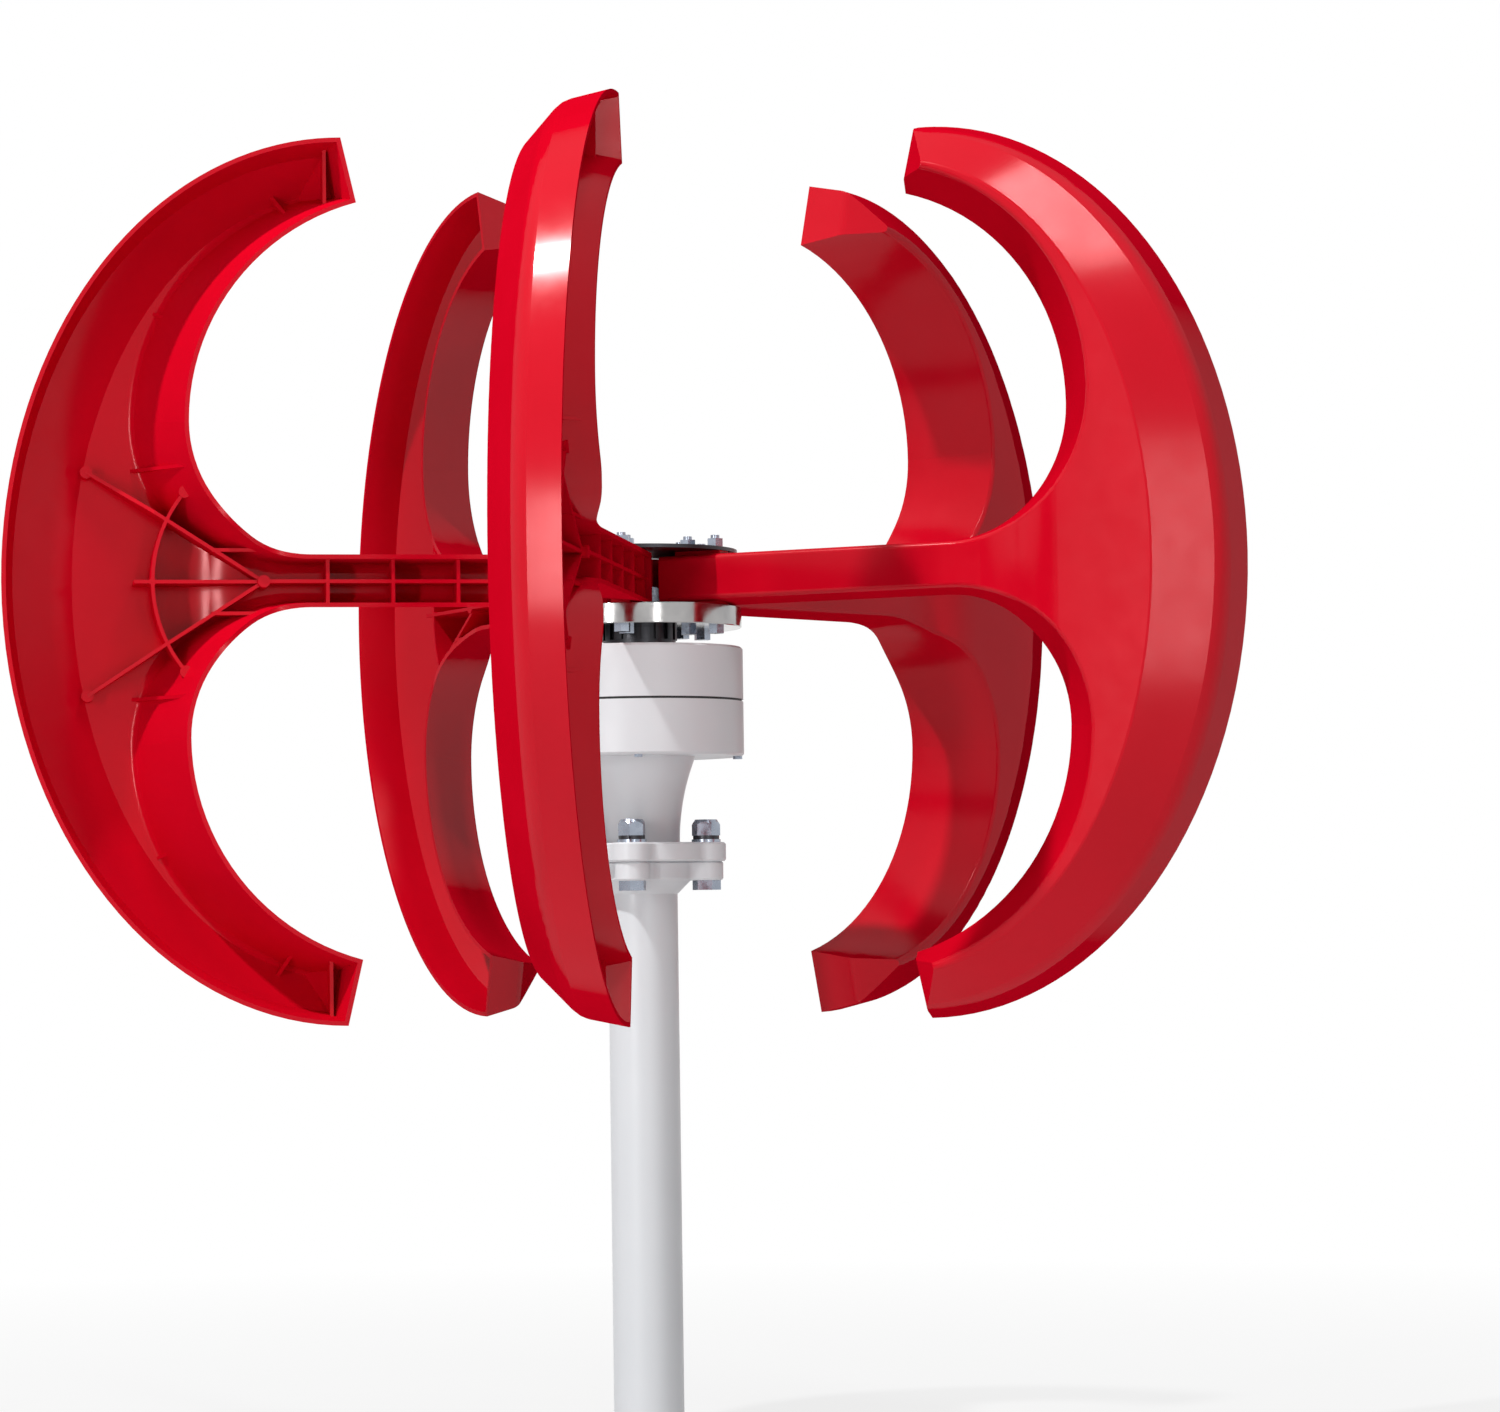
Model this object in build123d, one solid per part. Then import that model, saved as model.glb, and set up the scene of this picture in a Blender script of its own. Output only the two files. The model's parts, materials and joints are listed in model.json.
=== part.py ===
from build123d import *
import os
from math import atan, cos, degrees, radians, sin, sqrt, tan

# Vertical axis wind turbine: five moulded crescent blades on a hub, a ring generator under
# the hub and a flanged steel mast stub.  Millimetres, +Z up, origin on the axis at the foot
# of the mast.  A blade is drawn in its own frame: X runs out along the arm, Y points to the
# open (ribbed) side of the moulding and Z is up, measured from the middle of the arm.

# ---------------------------------------------------------------- driving dimensions
BLADE_COUNT = 5
BLADE_HEIGHT = 602.0          # tip to tip
HALF_HEIGHT = BLADE_HEIGHT / 2
TIP_RADIUS = 433.6            # axis to the outermost point of the crescent
FIRST_BLADE_ANGLE = 262.3     # direction of the first arm, from +X towards +Y
HUB_HEIGHT = 640.0            # mast foot to the middle of the arms

# crescent, as seen square to its open side; it keeps its form when the arm grows longer
RIM_HALF_WIDTH = 230.7        # half width of the elliptical outer rim
RIM_CENTRE = TIP_RADIUS - RIM_HALF_WIDTH
RIM_SWEEP = 200.0             # part of the ellipse that is drawn, in degrees
OPEN_Y = 24.0                 # plane of the open side
CREASE_Y = -5.0               # where the upright outer wall turns into the sloping one
BACK_Y = -30.0                # plane of the closed side
CREASE_LEAN = 5.0             # how far the wall leans in down to the crease, at the arm
CREASE_TIP_LEAN = 6.0         # and at the tips
RIDGE_LEAN = 47.0             # how far it leans in down to the closed side, at the arm
RIDGE_TIP_LEAN = 30.5         # and at the tips
ARM_HALF = 19.0               # half height of the arm at the open side plane
ARM_HALF_BACK = 14.0          # and at the closed side plane
THROAT_START = RIM_CENTRE + 17.9         # where the arm begins to flare
THROAT_START_BACK = RIM_CENTRE + 44.0
THROAT_RADIUS = 87.6          # flare between arm and crescent
THROAT_RADIUS_BACK = 97.0
HORN_HEIGHT = 38.5            # height of the horn over its bay, where the bay is highest
HORN_HEIGHT_BACK = 1.1
BAY_RADIUS = HALF_HEIGHT - HORN_HEIGHT - ARM_HALF - THROAT_RADIUS
BAY_RADIUS_BACK = (
    HALF_HEIGHT - RIDGE_TIP_LEAN - HORN_HEIGHT_BACK - ARM_HALF_BACK - THROAT_RADIUS_BACK)
TIP_CORNER_X = RIM_CENTRE - 8.0          # inner corner of the cut-off tip
TIP_CORNER_Z = HALF_HEIGHT - 43.3
TIP_LEAN = 13.0               # slant of the tip seen from the side
TIP_SETBACK = 18.6            # slant of the tip across the section, down to the crease
TIP_SLOPE = 41.0              # and from the crease to the closed side
SHELL_WALL = 3.0
CREASE_ROUND = 16.0           # rounding between the two outer walls
RIDGE_ROUND = 3.0             # rounding of the outer ridge
THROAT_ROUND = 3.5            # rounding of arm back and horn inner edge
HOLLOW_ROUND = 7.0            # the same edges inside the hollow

# arm
ARM_ROOT = 24.0
ARM_BACK_Y = -17.0
ARM_OPEN_Y = 13.0
ARM_BLEND_START = RIM_CENTRE + 37.1      # the open side rises to the crescent's
ARM_BLEND_END = RIM_CENTRE + 91.1
ARM_BACK_STEP = RIM_CENTRE + 59.1        # the closed side drops to the crescent's
ARM_BACK_END = RIM_CENTRE + 119.1
BACK_FACING = 0.93            # faces looking this squarely to the closed side belong to it
END_FACING = 0.3              # flat walls that look inwards more than this are the ends

# ribs inside the moulding
RIB_WALL = 2.4
RIB_ROOT_DEPTH = 2.4          # ribs start this far inside the outer surface
RIB_TOP_Y = 10.0              # top of the ribs in the arm
CREST_Y = 6.0                 # top of the ribs in the crescent
RIB_PITCH = 44.5
FIRST_RIB = 36.9
ARM_RIB_COUNT = 5
APEX_X = RIM_CENTRE + 55.1
ARC_RIB_CENTRE = RIM_CENTRE + 34.1
ARC_RIB_RADIUS = 95.6
ARC_BOSS_ANGLE = 39.6
FAR_BOSS_X = RIM_CENTRE + 173.1
FAR_BOSS_Z = 76.0
FAR_BOSS_TOP = -15.0
FAR_RIB_LEVEL = 0.62          # share of the diagonal rib that is level
SIDE_RIB_START = RIM_CENTRE + 35.1
SIDE_RIB_END = RIM_CENTRE + 90.1
SIDE_RIB_Z = 21.5
HORN_GUSSETS = (               # angle round the bay, run on the closed side, outer start
    (24.2, 42.0, 196.0),
    (59.0, 42.0, 180.0),
)
OUTER_GUSSET_RUN = 30.0
OUTER_GUSSET_TOP = -8.0
CENTRE_RIB_END = RIM_CENTRE + 142.1
BOSS_RADIUS = 4.2
BOSS_PROUD = 1.0              # middle bosses stand this far above the ribs
GUSSET_Z = 78.0
GUSSET_WALL = 2.4
GUSSET_LENGTH = 40.0
GUSSET_TOP = 20.0             # the gussets beside the arm reach almost to the open side

# hub
PLATE_RADIUS = 68.0
PLATE_THICKNESS = 2.5
DISC_RADIUS = 70.5
DISC_THICKNESS = 14.0
DISC_EDGE = 0.6
HUB_GAP = 37.0                # between disc and plate, the height of the arm bosses
HUB_BOLT_RADII = (39.0, 60.0)
HUB_BOLT_OFFSET = -2.0        # bolts stand on the middle of the arm's width
HUB_BOLT = 6.0
HUB_BOLT_CLEARANCE = 0.3      # on the radius
HUB_BLOCK_MARGIN = 6.5        # block round the bolts in each arm root
HUB_HEAD_FLATS = 10.0
HUB_HEAD_HEIGHT = 5.4
HUB_NUT_HEIGHT = 6.0
HUB_THREAD_OUT = 2.4          # bolt end standing out of the nut

# shaft and its fittings
SHAFT_RADIUS = 10.0
SHAFT_CORE_RADIUS = 12.5
SHAFT_FOOT_RADIUS = 7.5
SHAFT_END_RADIUS = 8.0
SHAFT_NUT_FLATS = 24.0
SHAFT_NUT_HEIGHT = 12.0
SHAFT_WASHER_RADIUS = 14.0
SHAFT_WASHER_THICKNESS = 2.5
SHAFT_END_OUT = 2.0
LOCKNUT_RADIUS = 26.0
LOCKNUT_HEIGHT = 8.0
LOCKNUT_SLOTS = 16
LOCKNUT_SLOT_WIDTH = 4.0
LOCKNUT_SLOT_DEPTH = 2.2
FLINGER_RADIUS = 25.0
FLINGER_GAP = 0.5             # above the housing
KEY_WIDTH = 6.0
KEY_HEIGHT = 3.0              # above the shaft surface
KEY_SINK = 3.0                # below the shaft surface
KEY_LENGTH = 12.0

# generator
BODY_RADIUS = 71.0
BODY_TOP = -46.0              # from the middle of the arms
BODY_SEAM = -82.0
BODY_BOTTOM = -121.0
SEAM_THICKNESS = 1.6
SEAM_SET_IN = 1.2
BODY_WALL = 9.0               # thick enough for the case screws
BODY_PLATE = 5.0
BODY_FLOOR = 6.0
BODY_EDGE = 1.5
UPPER_BEARING_OUTER = 21.0
UPPER_BEARING_WIDTH = 12.0
LOWER_BEARING_OUTER = 17.5
LOWER_BEARING_WIDTH = 11.0
BEARING_WALL = 5.0
BEARING_RELIEF = 1.0          # recess under the turning ring of the lower bearing
ROLLER_COUNT = 7
ROLLER_SHARE = 0.28           # roller radius as a share of the space between the bores
ROLLER_LIP = 0.2              # lip height as a share of the bearing's width
ROLLER_CLEARANCE = 0.1
RING_SHARE = 0.33             # ring thickness as a share of the same space
SEAL_RADIUS = 16.0
SEAL_HEIGHT = 4.0
SEAL_LIP = 0.25
YOKE_RADIUS = 34.0
MAGNET_THICKNESS = 4.0
MAGNET_COUNT = 10
MAGNET_GAP_ANGLE = 4.0
AIR_GAP = 0.8
ROTOR_TOP = -68.0
ROTOR_HEIGHT = 30.0
CORE_RING = 10.0
TOOTH_COUNT = 12
TOOTH_WIDTH = 5.0
TOOTH_TIP_WIDTH = 14.0
TOOTH_TIP = 2.2
COIL_WIDTH = 3.0
COIL_OVERHANG = 4.0
FIT_GAP = 0.3
CASE_SCREW_COUNT = 4
CASE_SCREW = 3.0
CASE_SCREW_FLATS = 5.5
CASE_SCREW_HEAD = 2.0
CABLE_HOLE_RADIUS = 3.5
CABLE_HOLE_OFFSET = 27.2
GROMMET_WALL = 1.2
GROMMET_COLLAR = 1.0          # width of the collar round the hole
CIRCLIP_RADIUS = 15.0
CIRCLIP_THICKNESS = 1.2

# stem, flanges and mast
STEM_TOP_RADIUS = 38.0
STEM_FOOT_RADIUS = 26.0
STEM_WALL = 6.0
FLANGE_TOP = -180.0
FLANGE_THICKNESS = 13.0
FLANGE_DISC_RADIUS = 46.0
MAST_FLANGE_DISC_RADIUS = 38.0
LUG_COUNT = 4
LUG_CIRCLE = 44.5
LUG_ANGLE = -7.5
LUG_RADIUS = 13.5
MAST_LUG_RADIUS = 11.5
LUG_BLEND = 8.0
FLANGE_EDGE = 1.2
FLANGE_BOLT = 10.0
FLANGE_BOLT_CLEARANCE = 0.5
FLANGE_HEAD_FLATS = 17.0
FLANGE_HEAD_HEIGHT = 6.6
FLANGE_WASHER_RADIUS = 10.0
FLANGE_WASHER_THICKNESS = 2.0
SPRING_WASHER_RADIUS = 9.0
SPRING_WASHER_THICKNESS = 2.6
LOCK_NUT_HEIGHT = 11.0
LOCK_NUT_CAP = 2.0            # closed top over the bolt end
MAST_RADIUS = 24.0
MAST_WALL = 3.0
MAST_COLLAR_RADIUS = 33.0
MAST_COLLAR_HEIGHT = 9.0

# ---------------------------------------------------------------- derived levels
DEPTH = OPEN_Y - BACK_Y
PLATE_BOTTOM = HUB_GAP / 2
PLATE_TOP = PLATE_BOTTOM + PLATE_THICKNESS
DISC_TOP = -HUB_GAP / 2
DISC_BOTTOM = DISC_TOP - DISC_THICKNESS
SEAM_BOTTOM = BODY_SEAM - SEAM_THICKNESS
CAVITY_TOP = BODY_TOP - BODY_PLATE
CAVITY_BOTTOM = BODY_BOTTOM + BODY_FLOOR
CAVITY_RADIUS = BODY_RADIUS - BODY_WALL
CORE_RADIUS = CAVITY_RADIUS - FIT_GAP
CASE_SCREW_RADIUS = BODY_RADIUS - BODY_WALL / 2
UPPER_BEARING_TOP = CAVITY_TOP
UPPER_BEARING_BOTTOM = UPPER_BEARING_TOP - UPPER_BEARING_WIDTH
LOWER_BEARING_BOTTOM = CAVITY_BOTTOM
LOWER_BEARING_TOP = LOWER_BEARING_BOTTOM + LOWER_BEARING_WIDTH
ROTOR_BOTTOM = ROTOR_TOP - ROTOR_HEIGHT
MAGNET_RADIUS = YOKE_RADIUS + MAGNET_THICKNESS
FLANGE_BOTTOM = FLANGE_TOP - FLANGE_THICKNESS
WASHER_STACK = FLANGE_WASHER_THICKNESS + SPRING_WASHER_THICKNESS
LOCK_NUT_TOP = FLANGE_TOP + WASHER_STACK + LOCK_NUT_HEIGHT
MAST_TOP = FLANGE_BOTTOM - FLANGE_THICKNESS
TUBE_TOP = MAST_TOP - MAST_COLLAR_HEIGHT
MAST_BORE = MAST_RADIUS - MAST_WALL
BIG = 4 * TIP_RADIUS


# ---------------------------------------------------------------- helpers
def tube(outer, inner, top, bottom):
    """A ring about the turbine's axis between two levels."""
    ring = Circle(outer) - Circle(inner)
    return Pos(0, 0, bottom) * extrude(ring, amount=top - bottom)


def rod(radius, top, bottom, x=0.0, y=0.0):
    """A vertical cylinder between two levels."""
    return Pos(x, y, bottom) * extrude(Circle(radius), amount=top - bottom)


def hexagon(flats, top, bottom, bore=0.0):
    """A hexagon nut or head between two levels."""
    profile = RegularPolygon(flats / 2, 6, major_radius=False)
    if bore > 0:
        profile = profile - Circle(bore)
    return Pos(0, 0, bottom) * extrude(profile, amount=top - bottom)


def around_axis(shape, count, start=0.0):
    """Copies of a shape, evenly spaced about the axis."""
    return [Rot(0, 0, start + i * 360.0 / count) * shape for i in range(count)]


def side_plane(y):
    """The plane square to the blade's Y axis at a given depth."""
    return Plane(origin=(0, y, 0), x_dir=(1, 0, 0), z_dir=(0, -1, 0))


# ---------------------------------------------------------------- blade
def rim_sections(inset):
    """Depth, half width and half height of the outer wall at its rim, crease and ridge.

    An inset moves both walls in square to their faces, so the crease moves along as well.
    """
    side = CREASE_LEAN / (OPEN_Y - CREASE_Y)
    side_tip = CREASE_TIP_LEAN / (OPEN_Y - CREASE_Y)
    slope = (RIDGE_LEAN - CREASE_LEAN) / (CREASE_Y - BACK_Y)
    slope_tip = (RIDGE_TIP_LEAN - CREASE_TIP_LEAN) / (CREASE_Y - BACK_Y)
    side_inset, side_tip_inset, slope_inset, slope_tip_inset = (
        inset * sqrt(1 + rise * rise) for rise in (side, side_tip, slope, slope_tip))
    crease = CREASE_Y + (slope_inset - side_inset) / (slope - side)
    half_width = RIM_HALF_WIDTH
    return (
        (OPEN_Y, half_width - side_inset, HALF_HEIGHT - side_tip_inset),
        (crease, half_width - side_inset - side * (OPEN_Y - crease),
         HALF_HEIGHT - side_tip_inset - side_tip * (OPEN_Y - crease)),
        (BACK_Y, half_width - RIDGE_LEAN - slope_inset,
         HALF_HEIGHT - RIDGE_TIP_LEAN - slope_tip_inset),
    )


def rim_solid(inset):
    """The D-shaped block inside the outer walls."""
    sections = []
    half_sweep = RIM_SWEEP / 2
    for y, half_width, half_height in rim_sections(inset):
        with BuildSketch(side_plane(y)) as section:
            with BuildLine():
                arc = EllipticalCenterArc((RIM_CENTRE, 0), half_width, half_height,
                                          -half_sweep, arc_size=RIM_SWEEP)
                Polyline(arc @ 1, (0, (arc @ 1).Y), (0, (arc @ 0).Y), arc @ 0)
            make_face()
        sections.append(section.sketch.face())
    rim, crease, ridge = sections
    return loft([rim, crease], ruled=True) + loft([crease, ridge], ruled=True)


def bay_solid(inset):
    """The space between the arm and the upper horn, widening towards the closed side."""
    sections = []
    left = -TIP_RADIUS
    for y, edge, start, throat, bay in (
        (OPEN_Y, ARM_HALF, THROAT_START, THROAT_RADIUS, BAY_RADIUS),
        (BACK_Y, ARM_HALF_BACK, THROAT_START_BACK, THROAT_RADIUS_BACK, BAY_RADIUS_BACK),
    ):
        low = edge - inset
        middle = edge + throat
        bay_centre = start + throat - bay
        top = middle + bay + inset
        with BuildSketch(side_plane(y)) as section:
            with BuildLine():
                Line((left, top), (left, low))
                Line((left, low), (start, low))
                CenterArc((start, middle), throat + inset, -90, 90)
                CenterArc((bay_centre, middle), bay + inset, 0, 90)
                Line((bay_centre, top), (left, top))
            make_face()
        sections.append(section.sketch.face())
    return loft(sections, ruled=True)


def tip_cutters(inset):
    """Blocks whose faces are the two slanted ends of the upper horn."""
    depth = HALF_HEIGHT
    block = Box(depth, BIG, depth, align=(Align.MAX, Align.CENTER, Align.CENTER))
    corner = Location((TIP_CORNER_X, OPEN_Y, TIP_CORNER_Z), (0, TIP_LEAN, 0))
    setback = (OPEN_Y - CREASE_Y) * tan(radians(TIP_SETBACK))
    crease = corner * Pos(setback, CREASE_Y - OPEN_Y, 0)
    return (corner * Rot(0, 0, TIP_SETBACK) * Pos(inset, 0, 0) * block,
            crease * Rot(0, 0, TIP_SLOPE) * Pos(inset, 0, 0) * block)


def easy_step(start, end):
    """An S-shaped step between two levels, tangent to X at both ends."""
    middle = ((start[0] + end[0]) / 2, (start[1] + end[1]) / 2)
    return TangentArc(start, middle, tangent=(1, 0)), TangentArc(end, middle, tangent=(-1, 0))


def arm_back_cutter(inset):
    """What the arm lacks on its closed side, where it is shallower than the crescent."""
    level = ARM_BACK_Y + inset
    floor = BACK_Y + inset
    below = BACK_Y - DEPTH
    with BuildSketch(Plane.XY) as section:
        with BuildLine():
            Line((0, below), (0, level))
            Line((0, level), (ARM_BACK_STEP, level))
            add(easy_step((ARM_BACK_STEP, level), (ARM_BACK_END, floor)))
            Line((ARM_BACK_END, floor), (ARM_BACK_END, below))
            Line((ARM_BACK_END, below), (0, below))
        make_face()
    return extrude(section.sketch, amount=ARM_HALF_BACK + THROAT_RADIUS_BACK, both=True)


def arm_front_cutter():
    """What the arm lacks on its open side, blending up to the horn's edge."""
    above = OPEN_Y + DEPTH
    with BuildSketch(Plane.XY) as section:
        with BuildLine():
            Line((0, above), (0, ARM_OPEN_Y))
            Line((0, ARM_OPEN_Y), (ARM_BLEND_START, ARM_OPEN_Y))
            add(easy_step((ARM_BLEND_START, ARM_OPEN_Y), (ARM_BLEND_END, OPEN_Y)))
            Line((ARM_BLEND_END, OPEN_Y), (ARM_BLEND_END, above))
            Line((ARM_BLEND_END, above), (0, above))
        make_face()
    reach = TIP_CORNER_Z - THROAT_RADIUS
    return extrude(section.sketch, amount=reach, both=True)


def moulding(inset):
    """The blade's outer form, or its hollow when the inset is the wall."""
    root = Pos(ARM_ROOT + inset, 0, 0) * Box(
        BIG, BIG, BIG, align=(Align.MAX, Align.CENTER, Align.CENTER))
    floor = Pos(0, BACK_Y + inset, 0) * Box(
        BIG, BIG, BIG, align=(Align.CENTER, Align.MAX, Align.CENTER))
    body = rim_solid(inset) - root
    for cutter in (bay_solid(inset), *tip_cutters(inset)):
        body = body - cutter - mirror(cutter, Plane.XY)
    body = body - floor if inset > 0 else body
    return body - arm_back_cutter(inset)


def rounded(body):
    """The moulding with its outer walls' crease and its closed side's long edges rounded."""
    crease = [e for e in body.edges() if abs(e.bounding_box().min.Y - CREASE_Y) < 1e-3
              and abs(e.bounding_box().max.Y - CREASE_Y) < 1e-3
              and e.center().X > RIM_CENTRE]
    body = fillet(crease, CREASE_ROUND)
    body = fillet(closed_side_edges(body)[0], RIDGE_ROUND)
    return fillet(closed_side_edges(body)[1], THROAT_ROUND)


def closed_side_edges(body):
    """The long edges of the closed side: those under the rim, then those round the bays."""
    closed = [f for f in body.faces() if f.normal_at(f.center()).Y < -BACK_FACING]
    walls = [f for f in body.faces() if f not in closed]
    ridge, throat = [], []
    for face in closed:
        for edge in face.edges():
            beside = [w for w in walls if any(edge.is_same(other) for other in w.edges())]
            if not beside:
                continue
            facing = beside[0].normal_at(edge @ 0.5).X
            if beside[0].geom_type == GeomType.PLANE and facing < -END_FACING:
                continue
            (ridge if facing > END_FACING else throat).append(edge)
    return ridge, throat


def upright(length, thickness, top, angle=0.0):
    """A rib standing on the closed side, starting at the local origin and running along X."""
    rib = Box(length, top - BACK_Y, thickness, align=(Align.MIN, Align.MAX, Align.CENTER))
    return Rot(0, -angle, 0) * Pos(0, top, 0) * rib


def stud(x, z, top, radius=BOSS_RADIUS):
    """A round boss standing on the closed side."""
    return Pos(x, top, z) * Rot(90, 0, 0) * Cylinder(
        radius, top - BACK_Y, align=(Align.CENTER, Align.CENTER, Align.MIN))


def wedge(x, z, start, run, top, angle):
    """A triangular stiffener, tall at its start and running out on the closed side."""
    profile = make_face(Polyline(
        (start, BACK_Y), (start + run, BACK_Y), (start, top), (start - run / 2, top),
        (start - run / 2, BACK_Y), close=True))
    return Pos(x, 0, z) * Rot(0, -angle, 0) * extrude(profile, amount=GUSSET_WALL / 2, both=True)


def far_rib(side):
    """The diagonal rib from the apex boss, level and then falling to the far boss."""
    run = FAR_BOSS_X - APEX_X
    rise = side * FAR_BOSS_Z
    length = sqrt(run * run + rise * rise)
    level = FAR_RIB_LEVEL * length
    profile = make_face(Polyline(
        (0, BACK_Y), (length, BACK_Y), (length, FAR_BOSS_TOP), (level, CREST_Y),
        (0, CREST_Y), close=True))
    turn = degrees(atan(rise / run))
    rib = extrude(profile, amount=RIB_WALL / 2, both=True)
    return Pos(APEX_X, 0, 0) * Rot(0, -turn, 0) * rib


def arc_rib():
    """The curved rib that ties the two middle bosses together."""
    ring = Circle(ARC_RIB_RADIUS + RIB_WALL / 2) - Circle(ARC_RIB_RADIUS - RIB_WALL / 2)
    rise = ARC_RIB_RADIUS * sin(radians(ARC_BOSS_ANGLE))
    reach = ARC_RIB_RADIUS * cos(radians(ARC_BOSS_ANGLE))
    window = Pos(reach, 0) * Rectangle(ARC_RIB_RADIUS, 2 * rise, align=(Align.MIN, Align.CENTER))
    piece = side_plane(CREST_Y) * Pos(ARC_RIB_CENTRE, 0) * (ring & window)
    return extrude(piece, amount=CREST_Y - BACK_Y, dir=(0, -1, 0))


def rib_frame():
    """All ribs and bosses of one blade, before they are trimmed to the moulding."""
    pieces = [Pos(ARM_ROOT, 0, 0) * upright(APEX_X - ARM_ROOT, RIB_WALL, RIB_TOP_Y)]
    pieces.append(Pos(APEX_X, 0, 0) * upright(CENTRE_RIB_END - APEX_X, RIB_WALL, CREST_Y))
    for i in range(ARM_RIB_COUNT):
        x = FIRST_RIB + i * RIB_PITCH
        pieces.append(Pos(x, RIB_TOP_Y, 0) * Box(
            RIB_WALL, RIB_TOP_Y - BACK_Y, BIG, align=(Align.CENTER, Align.MAX, Align.CENTER)))
    pieces.append(stud(APEX_X, 0, RIB_TOP_Y))
    pieces.append(stud(ARC_RIB_CENTRE + ARC_RIB_RADIUS, 0, CREST_Y, RIB_WALL))
    pieces.append(arc_rib())
    for side in (-1, 1):
        angle = radians(ARC_BOSS_ANGLE)
        boss_x = ARC_RIB_CENTRE + ARC_RIB_RADIUS * cos(angle)
        boss_z = side * ARC_RIB_RADIUS * sin(angle)
        pieces.append(stud(boss_x, boss_z, CREST_Y + BOSS_PROUD))
        pieces.append(far_rib(side))
        pieces.append(stud(FAR_BOSS_X, side * FAR_BOSS_Z, FAR_BOSS_TOP))
        pieces.append(Pos(SIDE_RIB_START, 0, side * SIDE_RIB_Z) * upright(
            SIDE_RIB_END - SIDE_RIB_START, RIB_WALL, CREST_Y))
        pieces.append(wedge(
            THROAT_START + THROAT_RADIUS, side * GUSSET_Z, 0, GUSSET_LENGTH, GUSSET_TOP, 0))
        x = THROAT_START + THROAT_RADIUS - BAY_RADIUS
        z = side * (ARM_HALF + THROAT_RADIUS)
        for angle, run, outer in HORN_GUSSETS:
            pieces.append(wedge(x, z, BAY_RADIUS, run, CREST_Y, side * angle))
            foot = outer + OUTER_GUSSET_RUN
            pieces.append(wedge(x, z, foot, -OUTER_GUSSET_RUN, OUTER_GUSSET_TOP, side * angle))
    return pieces


def root_block():
    """The solid block in the arm root that both bolts go through."""
    inner, outer = HUB_BOLT_RADII
    return Pos((inner + outer) / 2, HUB_BOLT_OFFSET, 0) * Box(
        outer - inner + 2 * HUB_BLOCK_MARGIN, 2 * HUB_BLOCK_MARGIN, HUB_GAP)


def blade():
    """One moulded blade: hollow arm and crescent, ribbed inside, with the root bosses."""
    hollow = moulding(SHELL_WALL)
    hollow = fillet(closed_side_edges(hollow)[1], HOLLOW_ROUND)
    shell = rounded(moulding(0.0)) - hollow
    frame = Part() + rib_frame()
    body = shell + (frame & moulding(RIB_ROOT_DEPTH))
    body = body - arm_front_cutter()
    body = body + root_block()
    hole = HUB_BOLT / 2 + HUB_BOLT_CLEARANCE
    for x in HUB_BOLT_RADII:
        body = body - rod(hole, HUB_GAP, -HUB_GAP, x, HUB_BOLT_OFFSET)
    return body


# ---------------------------------------------------------------- hub
def bolt_positions():
    """Places of the bolts through the arm roots."""
    return [Rot(0, 0, FIRST_BLADE_ANGLE + i * 360.0 / BLADE_COUNT) * Pos(x, HUB_BOLT_OFFSET, 0)
            for i in range(BLADE_COUNT) for x in HUB_BOLT_RADII]


def drilled_round(radius, top, bottom, bore):
    """A round plate with its centre bore and the holes for the arm bolts."""
    plate = rod(radius, top, bottom)
    if bore > 0:
        plate = plate - rod(bore, top, bottom)
    hole = rod(HUB_BOLT / 2 + HUB_BOLT_CLEARANCE, top, bottom)
    return plate - [place * hole for place in bolt_positions()]


def hub_top_plate():
    return drilled_round(PLATE_RADIUS, PLATE_TOP, PLATE_BOTTOM, 0)


def hub_disc():
    disc = drilled_round(DISC_RADIUS, DISC_TOP, DISC_BOTTOM, SHAFT_RADIUS)
    return chamfer(disc.edges().filter_by(GeomType.CIRCLE).sort_by(SortBy.RADIUS)[-2:], DISC_EDGE)


def hub_bolt():
    """Hexagon bolt, head under the disc."""
    end = PLATE_TOP + HUB_NUT_HEIGHT + HUB_THREAD_OUT
    head = hexagon(HUB_HEAD_FLATS, DISC_BOTTOM, DISC_BOTTOM - HUB_HEAD_HEIGHT)
    return head + rod(HUB_BOLT / 2, end, DISC_BOTTOM)


def hub_nut():
    return hexagon(HUB_HEAD_FLATS, PLATE_TOP + HUB_NUT_HEIGHT, PLATE_TOP, HUB_BOLT / 2)


# ---------------------------------------------------------------- shaft and its fittings
def key_box(length, top):
    """The block of a parallel key on the shaft's +X side."""
    return Pos(SHAFT_RADIUS - KEY_SINK, 0, top) * Box(
        KEY_SINK + KEY_HEIGHT, KEY_WIDTH, length, align=(Align.MIN, Align.CENTER, Align.MAX))


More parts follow.
